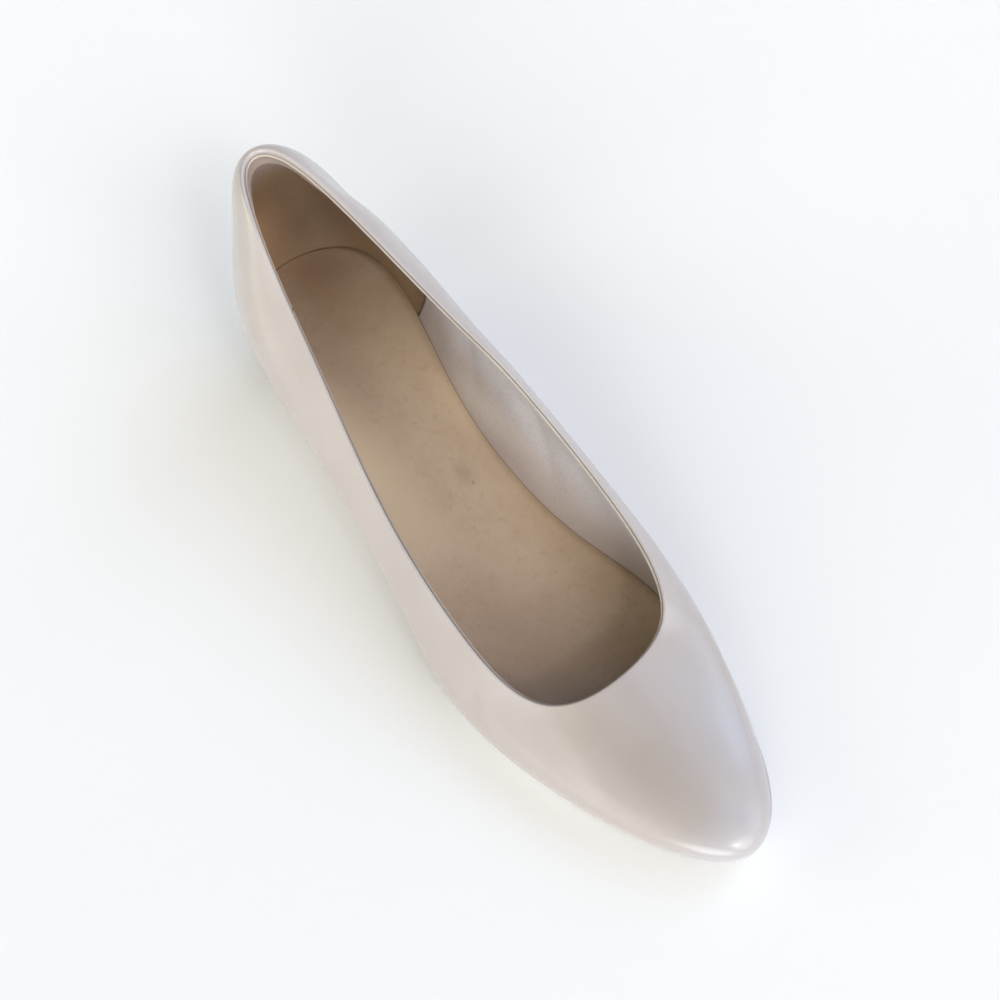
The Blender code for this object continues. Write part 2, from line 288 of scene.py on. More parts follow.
def smooth(x, a, b):
    """0 below a, 1 above b, smooth between."""
    t = np.clip((np.asarray(x, float) - a) / (b - a), 0.0, 1.0)
    return t * t * (3.0 - 2.0 * t)


def ripple(points, size, seed):
    """Slow unevenness between -1 and 1 over points in millimetres."""
    shift = Vector((seed * 7.31, seed * 3.17, seed * 5.77))
    flat = points.reshape(-1, 3)
    out = np.array([noise.noise(Vector(p) / size + shift) for p in flat])
    return out.reshape(points.shape[:-1])


# ==== mesh helpers ===================================================================
def add_piece(name, verts, faces, material, sharp=50.0, merge=2e-7, edge_material=None, edge_from=None, **marks):
    """A mesh piece; marks are measures kept at its points for the materials to use."""
    mesh = bpy.data.meshes.new(name)
    mesh.from_pydata(((np.asarray(verts) - ORIGIN) * MM).tolist(), [], faces)
    for mark, values in marks.items():
        mesh.attributes.new(mark, "FLOAT", "POINT").data.foreach_set("value", np.asarray(values, float).ravel())
    if edge_material is not None:
        second = (np.arange(len(faces)) >= edge_from).astype(int)
        mesh.polygons.foreach_set("material_index", second.tolist())
    bm = bmesh.new()
    bm.from_mesh(mesh)
    bmesh.ops.remove_doubles(bm, verts=bm.verts, dist=merge)
    bmesh.ops.dissolve_degenerate(bm, dist=1e-8, edges=bm.edges)
    bmesh.ops.recalc_face_normals(bm, faces=bm.faces)
    for f in bm.faces:
        f.smooth = True
    bm.to_mesh(mesh)
    bm.free()
    mesh.set_sharp_from_angle(angle=math.radians(sharp))
    mesh.materials.append(material)
    if edge_material is not None:
        mesh.materials.append(edge_material)
    piece = bpy.data.objects.new(name, mesh)
    bpy.context.scene.collection.objects.link(piece)
    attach(piece, "root")
    return piece


def ring_faces(count, n, closed=True):
    """Quads of a tube: rings of n points, each joined to the next."""
    faces = []
    for k in range(count if closed else count - 1):
        a, b = k * n, ((k + 1) % count) * n
        for i in range(n):
            j = (i + 1) % n
            faces.append((a + i, a + j, b + j, b + i))
    return faces


def slab(layers):
    """Closed slab from layers of point grids, top first; middle layers give only their border.

    Also tells where the side faces begin."""
    rows, cols = layers[0].shape[:2]
    border = [(i, 0) for i in range(rows)]
    border += [(rows - 1, j) for j in range(1, cols)]
    border += [(i, cols - 1) for i in range(rows - 2, -1, -1)]
    border += [(0, j) for j in range(cols - 2, 0, -1)]
    verts, faces, edges = [], [], []
    for k, grid in enumerate(layers):
        if k in (0, len(layers) - 1):
            base = len(verts)
            verts.extend(grid.reshape(-1, 3))
            for i in range(rows - 1):
                for j in range(cols - 1):
                    q = base + i * cols + j
                    faces.append((q, q + 1, q + cols + 1, q + cols))
            edges.append([base + i * cols + j for i, j in border])
        else:
            base = len(verts)
            verts.extend(grid[i, j] for i, j in border)
            edges.append(list(range(base, base + len(border))))
    sides = len(faces)
    for a, b in zip(edges, edges[1:]):
        for i in range(len(border)):
            j = (i + 1) % len(border)
            faces.append((a[i], a[j], b[j], b[i]))
    return np.array(verts), faces, sides


def strips(outline, cols, last_row=None):
    """Plan points in rows across a closed outline, lateral edge to medial edge, from the heel on."""
    n = len(outline)
    last_row = n // 2 if last_row is None else last_row
    t = np.linspace(0.0, 1.0, cols + 1)[:, None]
    return np.array([outline[i] * (1 - t) + outline[-i % n] * t for i in range(last_row + 1)])


def with_heights(plan, heights):
    return np.concatenate((plan, heights[..., None]), axis=-1)


# ==== materials ========================================================================
def srgb(red, green, blue):
    def linear(c):
        c /= 255.0
        return c / 12.92 if c <= 0.04045 else ((c + 0.055) / 1.055) ** 2.4
    return (linear(red), linear(green), linear(blue), 1.0)


class Finish:
    """A procedural material built up from nodes in object coordinates (metres)."""

    def __init__(self, name, roughness, specular=0.5, coat=0.0, coat_roughness=0.2, sheen=0.0):
        self.material = bpy.data.materials.new(name)
        self.material.use_nodes = True
        self.tree = self.material.node_tree
        self.shader = next(n for n in self.tree.nodes if n.type == "BSDF_PRINCIPLED")
        self.shader.inputs["Roughness"].default_value = roughness
        self.shader.inputs["Specular IOR Level"].default_value = specular
        self.shader.inputs["Coat Weight"].default_value = coat
        self.shader.inputs["Coat Roughness"].default_value = coat_roughness
        self.shader.inputs["Sheen Weight"].default_value = sheen
        self.coords = self.node("ShaderNodeTexCoord").outputs["Object"]

    def node(self, kind, **settings):
        n = self.tree.nodes.new(kind)
        for key, value in settings.items():
            setattr(n, key, value)
        return n

    def link(self, source, target):
        self.tree.links.new(source, target)

    def noise(self, scale, detail=3.0, rough=0.5, coords=None, distortion=0.0):
        n = self.node("ShaderNodeTexNoise")
        self.link(coords or self.coords, n.inputs["Vector"])
        n.inputs["Scale"].default_value = scale
        n.inputs["Detail"].default_value = detail
        n.inputs["Roughness"].default_value = rough
        n.inputs["Distortion"].default_value = distortion
        return n.outputs["Fac"]

    def mark(self, name):
        return self.node("ShaderNodeAttribute", attribute_name=name).outputs["Fac"]

    def along(self, weights):
        """Weighted sum of the object coordinates, in millimetres of the shoe's own frame."""
        n = self.node("ShaderNodeVectorMath", operation="DOT_PRODUCT")
        self.link(self.coords, n.inputs[0])
        n.inputs[1].default_value = tuple(np.array(weights) / MM)
        return self.math("ADD", n.outputs["Value"], float(np.dot(weights, ORIGIN)))

    def cells(self, scale, feature="F1", coords=None, output="Distance"):
        n = self.node("ShaderNodeTexVoronoi", feature=feature)
        self.link(coords or self.coords, n.inputs["Vector"])
        n.inputs["Scale"].default_value = scale
        return n.outputs[output]

    def ramp(self, value, low, high, to_low=0.0, to_high=1.0):
        n = self.node("ShaderNodeMapRange", interpolation_type="SMOOTHSTEP")
        self.link(value, n.inputs["Value"])
        n.inputs["From Min"].default_value = low
        n.inputs["From Max"].default_value = high
        n.inputs["To Min"].default_value = to_low
        n.inputs["To Max"].default_value = to_high
        return n.outputs["Result"]

    def math(self, operation, a, b):
        n = self.node("ShaderNodeMath", operation=operation)
        for socket, value in zip(n.inputs, (a, b)):
            if isinstance(value, (int, float)):
                socket.default_value = value
            else:
                self.link(value, socket)
        return n.outputs[0]

    def spot(self, centre, radii, hard=0.0):
        """1 at a point of the shoe, falling to 0 at the given radii (millimetres)."""
        away = self.node("ShaderNodeVectorMath", operation="SUBTRACT")
        self.link(self.coords, away.inputs[0])
        away.inputs[1].default_value = tuple((np.array(centre) - ORIGIN) * MM)
        sized = self.node("ShaderNodeVectorMath", operation="DIVIDE")
        self.link(away.outputs[0], sized.inputs[0])
        sized.inputs[1].default_value = tuple(np.array(radii) * MM)
        length = self.node("ShaderNodeVectorMath", operation="LENGTH")
        self.link(sized.outputs[0], length.inputs[0])
        return self.ramp(length.outputs["Value"], hard, 1.0, 1.0, 0.0)

    def mix(self, factor, a, b):
        n = self.node("ShaderNodeMix", data_type="RGBA")
        self.link(factor, n.inputs["Factor"])
        for key, value in (("A", a), ("B", b)):
            socket = next(s for s in n.inputs if s.name == key and s.type == "RGBA")
            if isinstance(value, tuple):
                socket.default_value = value
            else:
                self.link(value, socket)
        return next(s for s in n.outputs if s.type == "RGBA")

    def colour(self, value):
        self.link(value, self.shader.inputs["Base Color"])

    def rough(self, value):
        self.link(value, self.shader.inputs["Roughness"])

    def bump(self, height, depth_mm, strength=1.0, under=None):
        n = self.node("ShaderNodeBump")
        n.inputs["Strength"].default_value = strength
        n.inputs["Distance"].default_value = depth_mm * MM
        self.link(height, n.inputs["Height"])
        if under is not None:
            self.link(under, n.inputs["Normal"])
        return n.outputs["Normal"]

    def normal(self, value):
        self.link(value, self.shader.inputs["Normal"])
        self.link(value, self.shader.inputs["Coat Normal"])


def smooth_leather(name, light, dark, warm, roughness=(0.36, 0.50), coat=0.9):
    f = Finish(name, roughness[0], specular=0.5, coat=coat, coat_roughness=0.20)
    f.shader.inputs["Coat IOR"].default_value = 1.55
    broad = f.noise(26.0, 3.0, 0.55)
    fine = f.noise(310.0, 4.0, 0.6)
    tone = f.mix(f.ramp(broad, 0.32, 0.68), light, dark)
    tone = f.mix(f.ramp(fine, 0.56, 0.80, 0.0, 0.30), tone, warm)
    # painted reflection: paler beside the vamp's shoulder and at the toe
    tone = f.mix(f.math("MULTIPLY", f.spot((200, -26.5, 21), (23, 5.5, 25)), 0.55), tone, srgb(198, 189, 184))
    tone = f.mix(f.math("MULTIPLY", f.spot((238, 2, 17), (13, 9, 14)), 0.60), tone, srgb(194, 189, 192))
    # painted reflection of bluish light: lilac at the toe and along the medial vamp
    for centre, radii, amount in (((244, -4, 12), (14, 26, 16), 0.85), ((222, 17, 18), (34, 15, 18), 0.60)):
        tone = f.mix(f.math("MULTIPLY", f.spot(centre, radii), amount), tone, srgb(182, 179, 185))
    # painted shade: warmer and darker along the flat of the vamp
    for centre, radii in (((193, -17, 22), (20, 12, 30)), ((215, -11, 21), (24, 12, 30))):
        tone = f.mix(f.math("MULTIPLY", f.spot(centre, radii, 0.1), 0.70), tone, srgb(176, 163, 154))
    # painted bluish light: a lilac tint outside the medial quarter
    tone = f.mix(f.math("MULTIPLY", f.spot((45, 37, 58), (64, 12, 28)), 0.60), tone, srgb(170, 166, 182))
    # painted shade in the groove beside the binding
    f.colour(f.mix(f.math("MULTIPLY", f.mark("groove"), 0.42), tone, srgb(128, 114, 104)))
    f.rough(f.ramp(f.noise(140.0, 4.0, 0.6), 0.3, 0.7, *roughness))
    grain = f.bump(f.cells(1500.0, "SMOOTH_F1"), 0.05, 0.20)
    pores = f.bump(f.noise(900.0, 3.0, 0.6), 0.06, 0.18, under=grain)
    f.normal(f.bump(f.noise(60.0, 2.0, 0.5), 0.25, 0.12, under=pores))
    return f.material


def edge_leather():
    f = Finish("edge_leather", 0.45, specular=0.4, coat=0.08)
    tone = f.mix(f.ramp(f.noise(90.0, 3.0), 0.35, 0.65), srgb(191, 183, 178), srgb(180, 169, 163))
    # creamier round the heel
    tone = f.mix(f.math("MULTIPLY", f.spot((4, 0, 78), (62, 40, 26)), 0.7), tone, srgb(205, 192, 178))
    # darker along the lateral side
    tone = f.mix(f.ramp(f.along((0, 1, 0)), -10.0, 4.0, 0.75, 0.0), tone, srgb(148, 132, 121))
    # painted shade in the groove beside the leather
    tone = f.mix(f.math("MULTIPLY", f.mark("groove"), 0.42), tone, srgb(128, 114, 104))
    f.colour(f.mix(f.ramp(f.noise(620.0, 3.0), 0.6, 0.8, 0.0, 0.5), tone, srgb(160, 146, 138)))
    f.rough(f.ramp(f.noise(260.0), 0.3, 0.7, 0.38, 0.55))
    f.normal(f.bump(f.noise(800.0, 3.0), 0.08, 0.3))
    return f.material


def lining_leather(name, light, dark, speck, low, low_span, high=None, high_span=None, patches=(),
                   grain=1300.0, pitted=0.16):
    """Open-grained lining; `low` colours it near the insole, `high` near the collar, `patches` in soft spots, most of
    them painted light and shade.
    """
    f = Finish(name, 0.6, specular=0.35, sheen=0.06)
    tone = f.mix(f.ramp(f.noise(42.0, 3.0), 0.32, 0.68), light, dark)
    height = f.math("ADD", f.mark("height"), f.math("MULTIPLY", f.math("SUBTRACT", f.noise(46.0, 3.0), 0.5), 0.25))
    tone = f.mix(f.ramp(height, *low_span, 1.0, 0.0), tone, low)
    if high is not None:
        tone = f.mix(f.ramp(height, *high_span, 0.0, 1.0), tone, high)
    for centre, radii, amount, colour in patches:
        tone = f.mix(f.math("MULTIPLY", f.spot(centre, radii), amount), tone, colour)
    # darker beside the seams
    tone = f.mix(f.math("MULTIPLY", f.ramp(f.mark("seam"), 0.0, 9.0, 1.0, 0.0), 0.35), tone, speck)
    tone = f.mix(f.ramp(f.mark("seam"), 0.15, 0.50, 0.36, 0.0), tone, srgb(84, 64, 50))
    pits = f.ramp(f.cells(grain), 0.15, 0.40, 1.0, 0.0)
    tone = f.mix(f.math("MULTIPLY", pits, pitted), tone, speck)
    f.colour(f.mix(f.ramp(f.noise(640.0, 4.0, 0.65), 0.56, 0.85, 0.0, 0.28), tone, speck))
    f.rough(f.ramp(f.noise(300.0), 0.3, 0.7, 0.46, 0.62))
    pit = f.bump(f.cells(grain), 91.0 / grain, 0.42)
    f.normal(f.bump(f.noise(420.0, 4.0, 0.6), 0.08, 0.42, under=pit))
    return f.material


def sock_leather():
    f = Finish("sock_leather", 0.5, specular=0.4, sheen=0.06)
    tone = f.mix(f.ramp(f.noise(30.0, 4.0, 0.6), 0.30, 0.70), srgb(185, 162, 140), srgb(174, 148, 124))
    tone = f.mix(f.ramp(f.noise(420.0, 4.0, 0.65), 0.50, 0.8, 0.0, 0.45), tone, srgb(151, 125, 100))
    tone = f.mix(f.ramp(f.noise(700.0, 3.0, 0.6), 0.60, 0.78, 0.0, 0.30), tone, srgb(203, 183, 162))
    # painted shade: darker under the heel counter and at the ball under the vamp
    heel = f.math("MULTIPLY", f.spot((11, 7, 31), (24, 26, 20)), 0.70)
    tone = f.mix(heel, tone, srgb(143, 111, 88))
    ball = f.math("MULTIPLY", f.spot((150, -6, 8), (40, 32, 20)), 0.22)
    tone = f.mix(ball, tone, srgb(157, 130, 110))
    # painted light: paler along both sides of the waist
    for centre, radii, amount in (((84, -21, 22), (78, 18, 20), 0.95), ((80, 17, 24), (28, 10, 16), 0.45)):
        tone = f.mix(f.math("MULTIPLY", f.spot(centre, radii), amount), tone, srgb(208, 184, 154))
    # one dark fleck with a faint smudge round it, and fine specks
    tone = f.mix(f.math("MULTIPLY", f.spot((100, 4, 18), (8, 5, 8)), 0.22), tone, srgb(117, 91, 73))
    tone = f.mix(f.math("MULTIPLY", f.spot((104.5, 4.5, 18), (0.9, 0.7, 4), 0.2), 0.5), tone, srgb(109, 74, 58))
    dots = f.ramp(f.cells(230.0), 0.03, 0.08, 1.0, 0.0)
    some = f.ramp(f.noise(75.0, 2.0), 0.54, 0.64)
    tone = f.mix(f.math("MULTIPLY", f.math("MULTIPLY", dots, some), 0.30), tone, srgb(111, 87, 69))
    # painted shade along the insole's edge, where it meets the lining
    f.colour(f.mix(f.ramp(f.mark("edge"), 0.10, 0.60, 0.42, 0.0), tone, srgb(79, 55, 41)))
    f.rough(f.ramp(f.noise(120.0, 4.0), 0.3, 0.7, 0.42, 0.58))
    grain = f.bump(f.cells(900.0, "SMOOTH_F1"), 0.08, 0.30)
    f.normal(f.bump(f.noise(330.0, 4.0, 0.6), 0.08, 0.32, under=grain))
    return f.material


def sock_edge():
    f = Finish("sock_edge", 0.8, specular=0.2)
    f.colour(f.mix(f.ramp(f.noise(300.0, 3.0), 0.35, 0.65), srgb(74, 52, 36), srgb(58, 40, 28)))
    f.normal(f.bump(f.noise(700.0, 3.0), 0.08, 0.3))
    return f.material


def sole_rubber():
    f = Finish("sole_rubber", 0.55, specular=0.4)
    tone = f.mix(f.ramp(f.noise(34.0, 3.0), 0.32, 0.68), srgb(196, 192, 196), srgb(182, 178, 183))
    f.colour(f.mix(f.ramp(f.noise(460.0, 4.0, 0.65), 0.55, 0.8, 0.0, 0.5), tone, srgb(152, 147, 152)))
    f.rough(f.ramp(f.noise(200.0), 0.3, 0.7, 0.48, 0.66))
    f.normal(f.bump(f.noise(1100.0, 3.0, 0.6), 0.06, 0.35))
    return f.material


UPPER_LEATHER = smooth_leather("upper_leather", srgb(184, 175, 172), srgb(179, 169, 165), srgb(170, 160, 154))
WEDGE_LEATHER = smooth_leather("wedge_leather", srgb(182, 173, 170), srgb(177, 167, 163), srgb(168, 158, 152))
EDGE_LEATHER = edge_leather()
# quarter lining: `low` is painted shade, darker and warmer near the insole; the patches are painted shade at the front
# under the vamp and a painted pool of light in the waist
QUARTER_GRAIN = lining_leather("quarter_lining", srgb(184, 178, 180), srgb(174, 166, 166), srgb(138, 127, 123),
                               srgb(168, 152, 144), (0.08, 0.46),
                               patches=[((158, 30, 12), (34, 14, 16), 0.6, srgb(136, 120, 112)),
                                     ((86, 21, 26), (28, 9, 10), 0.6, srgb(198, 184, 174))],
                               grain=850.0, pitted=0.24)
# heel lining: `high` is painted light on the padded roll under the collar; the patches are painted light inside the
# lateral back of the heel and a darker spot by the medial seam
HEEL_GRAIN = lining_leather("heel_lining", srgb(134, 110, 86), srgb(123, 98, 75), srgb(94, 71, 52),
                            srgb(137, 111, 85), (0.05, 0.30), srgb(158, 142, 133), (0.54, 0.88),
                            patches=[((0, -8, 47), (16, 19, 27), 0.95, srgb(168, 134, 104)),
                                  ((4, 21, 48), (13, 13, 20), 0.4, srgb(110, 87, 67))])
SOCK_LEATHER = sock_leather()
SOCK_EDGE = sock_edge()
SOLE_RUBBER = sole_rubber()


# ==== pieces ==============================================================================
def groove_share(u):
    """The painted shade in the groove beside the binding is fainter round the heel."""
    return 0.4 + 0.6 * smooth(np.minimum(u, COUNT - u), 0.8, 2.4)


def make_upper():
    n = 420
    u = stations(n)
    rings = []
    # groove: where the painted shade in the groove beside the binding falls
    groove = [0.0] * 73
    for t in np.linspace(0.0, 1.0, 73):
        at = np.full(n, t)
        p = wall(u, at)
        fade = float(smooth(t, 0.04, 0.22) * (1.0 - smooth(t, 0.80, 0.97)))
        if t == 0.0:
            p = seat_edge(u, 0.22)
            p[:, 2] += 0.05
        elif fade > 0.0:
            uneven = 0.16 * ripple(p, 34.0, 1) + 0.07 * ripple(p, 13.0, 2)
            p = p + wall_normal(u, at) * (uneven * fade)[:, None]
        rings.append(p)
    edge, out, up = rim(u)
    across = thickness(u, 1.0) - LINING
    crest = 0.30 + 0.22 * across
    for k in range(1, 10):
        a = math.pi * k / 10
        inwards = across * (0.5 - 0.5 * math.cos(a))
        arch = math.sin(a) if k <= 5 else 0.5 + 0.5 * math.sin(a)
        rings.append(edge - out * inwards[:, None] + up * (crest * arch)[:, None])
        groove.append(float(smooth(k, 5.5, 8.0)))
    for t in np.linspace(1.0, 0.06, 12):
        rings.append(layer(u, np.full(n, t), thickness(u, t) - LINING))
    rings.append(seat_edge(u, WALL - LINING))
    groove += [0.0] * (len(rings) - len(groove))
    piece = add_piece("upper_leather", np.concatenate(rings), ring_faces(len(rings), n), UPPER_LEATHER,
                      groove=np.outer(groove, groove_share(u)))
    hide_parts("upper")
    return piece


def make_binding():
    n = 1500
    u = stations(n)
    edge, out, up = rim(u)
    notch = np.exp(-((u - BIND_JOIN) / 0.014) ** 2)
    low = thickness(u, 1.0) - LINING + 0.07
    high = low + BIND_WIDTH
    mid, half = (low + high) / 2.0, BIND_WIDTH / 2.0
    arc = np.linspace(0.12, math.pi - 0.12, 11)
    section = [(low, -1.3), (low, -0.6), (low, -0.05)]
    # the outer flank stays high, so that only a shallow groove is left beside the leather
    section += [(mid - half * math.cos(a), 0.69 * math.sin(a) ** 0.8 + (0.30 * (1.0 - math.sin(a)) if a < 1.5 else 0.0))
                for a in arc]
    section += [(high, -0.15), (high + 0.02, -0.6), (high, -1.05), (high - 0.16, -1.28), (mid, -1.36)]
    rings, groove = [], []
    wobble = 0.03 * np.sin(u * 23.0) + 0.02 * np.sin(u * 61.0 + 1.0)
    for depth, rise in section:
        lift = rise + (wobble - 0.60 * notch) * (rise > -0.2)
        rings.append(edge - out * depth[:, None] + up * lift[:, None])
        # groove: painted shade on the binding's flank beside the leather
        groove.append(groove_share(u) * (1.0 - smooth((depth - low) / BIND_WIDTH, 0.05, 0.40)))
    piece = add_piece("collar_binding", np.concatenate(rings), ring_faces(len(rings), n), EDGE_LEATHER, sharp=70.0,
                      groove=np.concatenate(groove))
    return piece


def make_lining(name, start, end, proud, pad, cols, material, uneven):
    """A lining sheet between two slanting seams, each given at the seat and at the collar."""
    t = np.concatenate((np.linspace(0.015, 0.58, 22), np.linspace(0.59, 0.995, 36)))
    share = np.linspace(0.0, 1.0, cols)
    first = start[0] + (start[1] - start[0]) * t
    last = end[0] + (end[1] - end[0]) * t
    u = first[:, None] * (1 - share) + last[:, None] * share
    tt = np.repeat(t[:, None], cols, 1)
    thick = thickness(u, tt)
    back = layer(u, tt, thick - LINING + 0.12)
    # padding: a soft roll under the collar, fullest round the back of the heel
    roll = smooth(tt, 0.34, 0.85) * (1.0 - smooth(tt, 0.87, 0.995))
    roll = roll * (1.0 - smooth(np.abs(u - COUNT + 0.15), 0.8, 2.05))
    face = layer(u, tt, thick + proud + pad * roll - folds(LINING_FOLDS, u, tt) * (pad == 0.0))
    fade = smooth(tt, 0.0, 0.15) * (1.0 - smooth(tt, 0.85, 0.99))
    face = face + wall_normal(u, tt) * (uneven * ripple(face, 16.0, 3) * fade)[..., None]
    verts, faces, sides = slab([face, back])
    from_seam = np.minimum(np.linalg.norm(face - face[:, :1], axis=-1), np.linalg.norm(face - face[:, -1:], axis=-1))
    piece = add_piece(name, verts, faces, material, sharp=45.0,
                      height=np.concatenate((tt, tt)), seam=np.concatenate((from_seam, from_seam)))
    return piece


def make_linings():
    clear = 0.010
    make_lining("quarter_lining", (SEAM_LAT[0] + clear, SEAM_LAT[1] + clear),
                (SEAM_MED[0] - clear, SEAM_MED[1] - clear), 0.0, 0.0, 420, QUARTER_GRAIN, 0.10)
    make_lining("heel_lining", (SEAM_MED[0] + clear, SEAM_MED[1] + clear),
                (COUNT + SEAM_LAT[0] - clear, COUNT + SEAM_LAT[1] - clear), 0.18, HEEL_PAD, 220, HEEL_GRAIN, 0.15)


def make_insole():
    n, cols = 480, 44
    u = stations(n)
    out = outline_out(u)
    low = strips(inside_outline(u, 0.0) - out * 0.45, cols)
    edge = inside_outline(u, INSOLE_T) - out * 0.6
    high = strips(edge, cols)
    t = np.linspace(-1.0, 1.0, cols + 1)
    width = np.linalg.norm(high[:, -1] - high[:, 0], axis=1)
    dip = INSOLE_CUP * (width / width.max())[:, None] * (1.0 - t ** 2)
    from_edge = (1.0 - np.abs(t)) * width[:, None] / 2.0
    top = with_heights(high, seat(low[..., 0]) + INSOLE_T - dip)
    # rounded edge, faint cups under heel and ball
    top[..., 2] -= 0.9 * (1.0 - smooth(from_edge, 0.0, 2.6)) ** 1.5
    x, y = top[..., 0], top[..., 1]
    top[..., 2] -= 0.35 * np.exp(-((x - 34) / 20) ** 2 - (y / 13) ** 2)
    top[..., 2] -= 0.30 * np.exp(-((x - 152) / 22) ** 2 - ((y + 4) / 22) ** 2)
    top[..., 2] += 0.08 * ripple(top, 15.0, 5) * smooth(from_edge, 1.0, 5.0)
    side = with_heights(high + (low - high) * 0.35, seat(low[..., 0]) + 1.6)
    bottom = with_heights(low, seat(low[..., 0]) + 0.05)
    verts, faces, sides = slab([top, side, bottom])
    ends, steps = edge, np.roll(edge, -1, 0) - edge
    away = np.zeros(len(verts))
    for i, point in enumerate(top.reshape(-1, 3)[:, :2]):
        share = np.clip(((point - ends) * steps).sum(1) / (steps ** 2).sum(1), 0.0, 1.0)
        away[i] = np.hypot(*(ends + steps * share[:, None] - point).T).min()
    piece = add_piece("insole_sock", verts, faces, SOCK_LEATHER, edge_material=SOCK_EDGE, edge_from=sides, edge=away)
    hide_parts("insole")
    return piece


def make_wedge():
    n, cols = 480, 24
    u = stations(n)
    head = strips(feather_outline(u, GAP), cols)
    foot = strips(sole_outline(u, GAP), cols)
    thick = seat(head[..., 0]) - GAP - (sole_top(foot[..., 0]) + GAP)
    end = max(i for i in range(n // 2) if thick[i].min() >= WEDGE_TIP)
    head, foot = head[:end + 1], foot[:end + 1]
    pull = strips(outline_out(u) * WEDGE_WAIST, cols)[:end + 1]
    trim = strips(outline_out(u), cols)[:end + 1]
    top = with_heights(head, seat(head[..., 0]) - GAP)
    bottom = with_heights(foot, sole_top(foot[..., 0]) + GAP)
    share = np.clip((top[..., 2] - bottom[..., 2]) / SEAT[0][1], 0.0, 1.0)[..., None]
    layers = []
    for s in (0.0, 0.008, 0.03, 0.08, 0.16, 0.25, 0.34, 0.43, 0.5, 0.57, 0.66, 0.75, 0.84, 0.92, 0.97, 0.992, 1.0):
        grid = top * (1 - s) + bottom * s
        grid[..., :2] -= pull * share * (4.0 * s * (1.0 - s))
        round_off = 0.55 * (1.0 - min(min(s, 1.0 - s) / 0.03, 1.0)) ** 2
        grid[..., :2] -= trim * round_off * np.clip(share * 3.0, 0.15, 1.0)
        layers.append(grid)
    verts, faces, sides = slab(layers)
    piece = add_piece("wedge_cover", verts, faces, WEDGE_LEATHER)
    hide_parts("wedge")
    row = bottom[-1]
    return row[np.argsort(row[:, 1])]


def make_outsole(tip):
    n, cols = 800, 40
    u = stations(n)
    plain = strips(sole_outline(u, 0.0), cols)
    trim = strips(outline_out(u), cols)
    t = np.linspace(-1.0, 1.0, cols + 1)
    width = np.linalg.norm(plain[:, -1] - plain[:, 0], axis=1)
    from_edge = (1.0 - np.abs(t)) * width[:, None] / 2.0
    middle = plain[:, cols // 2, 0]
    base, lid = ground(plain[..., 0]), sole_top(plain[..., 0])
    # ahead of the wedge the lid comes up to the upper
    ahead = plain[..., 0] - np.interp(plain[..., 1], tip[:, 1], tip[:, 0])
    lid = lid + (seat(plain[..., 0]) - lid - 0.06) * smooth(ahead, 0.15, 1.2)
    # and its edge widens to lie under the upper's feather edge
    out = outline_out(u)
    wider = np.maximum(np.sum((feather_outline(u, 0.15) - sole_outline(u, 0.0)) * out, axis=1), 0.0)
    flare = strips(out * wider[:, None], cols) * smooth(ahead, -9.0, 0.8)[..., None]
    layers = []
    for inset, height in ((0.30, 0.0), (0.08, -0.08), (0.0, -0.30)):
        grid = plain + flare - trim * inset
        layers.append(with_heights(grid, lid + height))
    for inset, height in ((0.0, 0.55), (0.12, 0.25), (0.30, 0.09), (0.50, 0.0)):
        grid = plain - trim * inset
        layers.append(with_heights(grid, base + height))
    # fine cross ribs under ball and heel, inside a plain margin
    zone = smooth(middle, 128, 136) * (1 - smooth(middle, 222, 230)) + smooth(middle, 4, 9) * (1 - smooth(middle, 52, 58))
    wave = 0.5 - 0.5 * np.cos(2.0 * np.pi * middle / 4.2)
    rib = 0.75 * (zone * wave)[:, None] * smooth(from_edge, 4.0, 5.5)
    layers[-1][..., 2] += rib
    verts, faces, sides = slab(layers)
    piece = add_piece("outsole_unit", verts, faces, SOLE_RUBBER, sharp=60.0)
    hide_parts("outsole")
    return piece


make_upper()
make_binding()
make_linings()
make_insole()
make_outsole(make_wedge())


# ==== floor, light and camera =================================================================
def place(point):
    return Vector(((np.array(point) - ORIGIN) * MM).tolist())


CAMERA_AT = (312.55, -101.74, 464.11)
LOOK_AT = (116.00, 7.10, 20.0)
ROLL = 7.95
LENS = 55.74
RIGHT = Vector((0.613, 0.790, 0.0))      # across the picture, on the floor
AWAY = Vector((-0.793, 0.609, 0.0))      # up the picture, on the floor
UP = Vector((0.0, 0.0, 1.0))
BACKDROP = 1.0
OVERHEAD = 0.03


def make_camera():
    data = bpy.data.cameras.new("camera")
    data.sensor_width = 36.0
    data.lens = LENS
    data.clip_start, data.clip_end = 0.01, 20.0
    camera = bpy.data.objects.new("camera", data)
    bpy.context.scene.collection.objects.link(camera)
    eye, target = place(CAMERA_AT), place(LOOK_AT)
    ahead = (target - eye).normalized()
    across = Quaternion(ahead, math.radians(ROLL)) @ ahead.cross(UP).normalized()
    above = across.cross(ahead)
    turn = Matrix((across, above, -ahead)).transposed()
    camera.matrix_world = Matrix.Translation(eye) @ turn.to_4x4()
    bpy.context.scene.camera = camera


def add_light(name, turn, height, width, power, colour):
    """A soft far light, by degrees round from the picture's right, degrees up and degrees wide."""
    a, e = math.radians(turn), math.radians(height)
    way = (RIGHT * math.cos(a) + AWAY * math.sin(a)) * math.cos(e) + UP * math.sin(e)
    data = bpy.data.lights.new(name, "SUN")
    data.angle = math.radians(width)
    data.energy = power
    data.color = colour
    light = bpy.data.objects.new(name, data)
    bpy.context.scene.collection.objects.link(light)
    light.location = way * 1.5
    light.rotation_mode = "QUATERNION"
    light.rotation_quaternion = way.to_track_quat("Z", "Y")
    return light


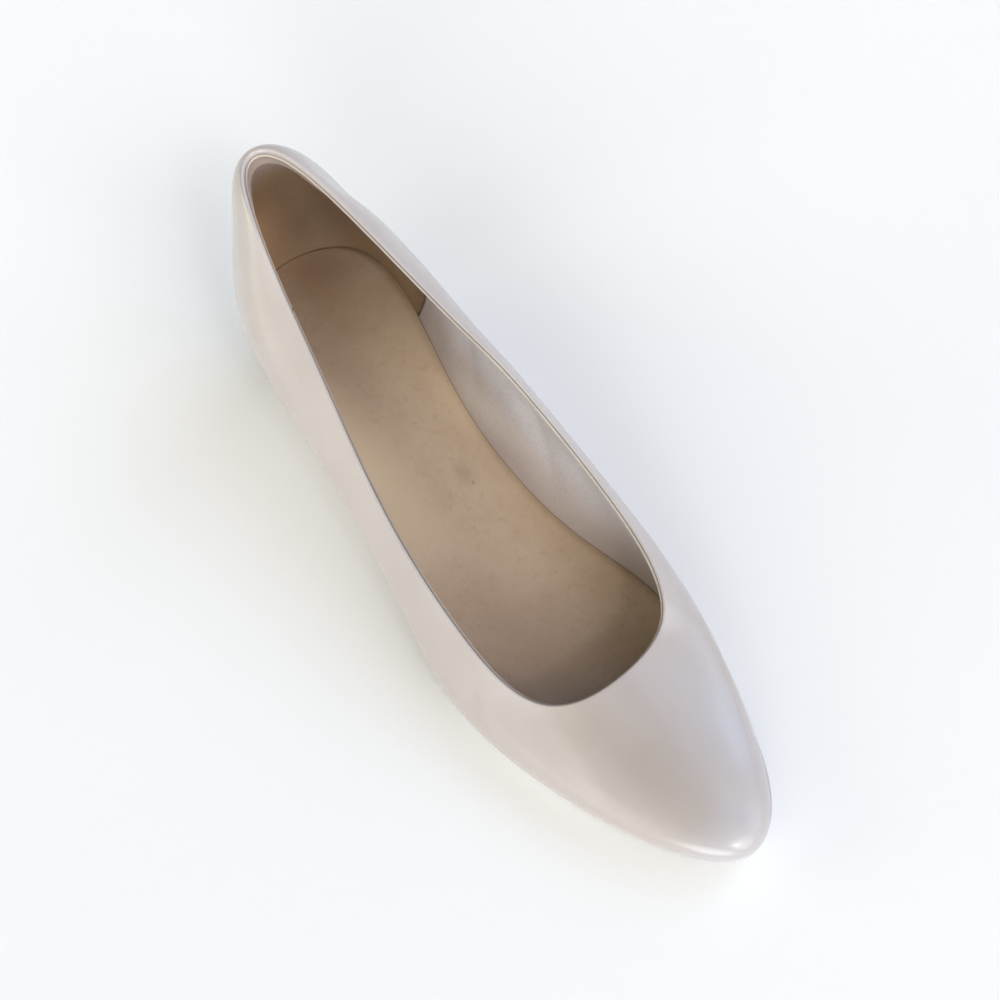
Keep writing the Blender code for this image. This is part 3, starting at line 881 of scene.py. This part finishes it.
def make_floor():
    f = Finish("floor_paper", 0.9, specular=0.1)
    tone = f.mix(f.ramp(f.noise(3.0, 2.0), 0.3, 0.7), srgb(247, 247, 247), srgb(244, 244, 245))
    f.colour(tone)
    mesh = bpy.data.meshes.new("floor")
    s = 30.0
    mesh.from_pydata([(-s, -s, -0.0002), (s, -s, -0.0002), (s, s, -0.0002), (-s, s, -0.0002)], [], [(0, 1, 2, 3)])
    mesh.materials.append(f.material)
    floor = bpy.data.objects.new("floor", mesh)
    bpy.context.scene.collection.objects.link(floor)


def make_world():
    """A pale backdrop all round that darkens overhead."""
    world = bpy.data.worlds.new("studio")
    world.use_nodes = True
    tree = world.node_tree
    shade = next(n for n in tree.nodes if n.type == "BACKGROUND")
    way = tree.nodes.new("ShaderNodeTexCoord")
    split = tree.nodes.new("ShaderNodeSeparateXYZ")
    fall = tree.nodes.new("ShaderNodeMapRange")
    fall.interpolation_type = "SMOOTHSTEP"
    fall.inputs["From Min"].default_value = math.sin(math.radians(10))
    fall.inputs["From Max"].default_value = math.sin(math.radians(38))
    fall.inputs["To Min"].default_value = BACKDROP
    fall.inputs["To Max"].default_value = OVERHEAD
    tree.links.new(way.outputs["Generated"], split.inputs["Vector"])
    tree.links.new(split.outputs["Z"], fall.inputs["Value"])
    tree.links.new(fall.outputs["Result"], shade.inputs["Strength"])
    shade.inputs["Color"].default_value = (1.0, 1.0, 1.0, 1.0)
    bpy.context.scene.world = world


make_camera()
make_floor()
make_world()
LIGHTS = [
    # name, degrees round from the picture's right, degrees up, degrees wide, power, colour
    ("right", 0, 37, 35, 0.56, (0.80, 0.86, 1.0)),
    ("right_back", 45, 35, 35, 0.64, (0.63, 0.78, 1.0)),
    ("right_back_high", 45, 55, 35, 0.41, (0.71, 0.79, 1.0)),
    ("left", 180, 15, 35, 0.66, (1.0, 0.94, 0.62)),
    ("left_front_low", 225, 15, 35, 0.13, (1.0, 1.0, 1.0)),
    ("left_front", 225, 35, 35, 0.40, (0.96, 1.0, 0.97)),
    ("left_front_high", 225, 55, 35, 0.22, (1.0, 0.92, 0.58)),
    ("front", 270, 15, 35, 1.23, (0.95, 0.99, 1.0)),
    ("front_high", 270, 35, 35, 0.13, (1.0, 1.0, 1.0)),
    ("right_front", 315, 35, 35, 0.97, (1.0, 0.97, 0.92)),
    ("right_front_high", 315, 55, 35, 0.25, (1.0, 0.90, 0.76)),
    ("toe_glint", 304, 43, 8, 0.28, (0.84, 0.92, 1.0)),
]
for row in LIGHTS:
    add_light(*row)
bpy.context.scene.view_settings.view_transform = "Standard"
bpy.context.scene.view_settings.look = "None"
bpy.context.scene.view_settings.exposure = 0.0
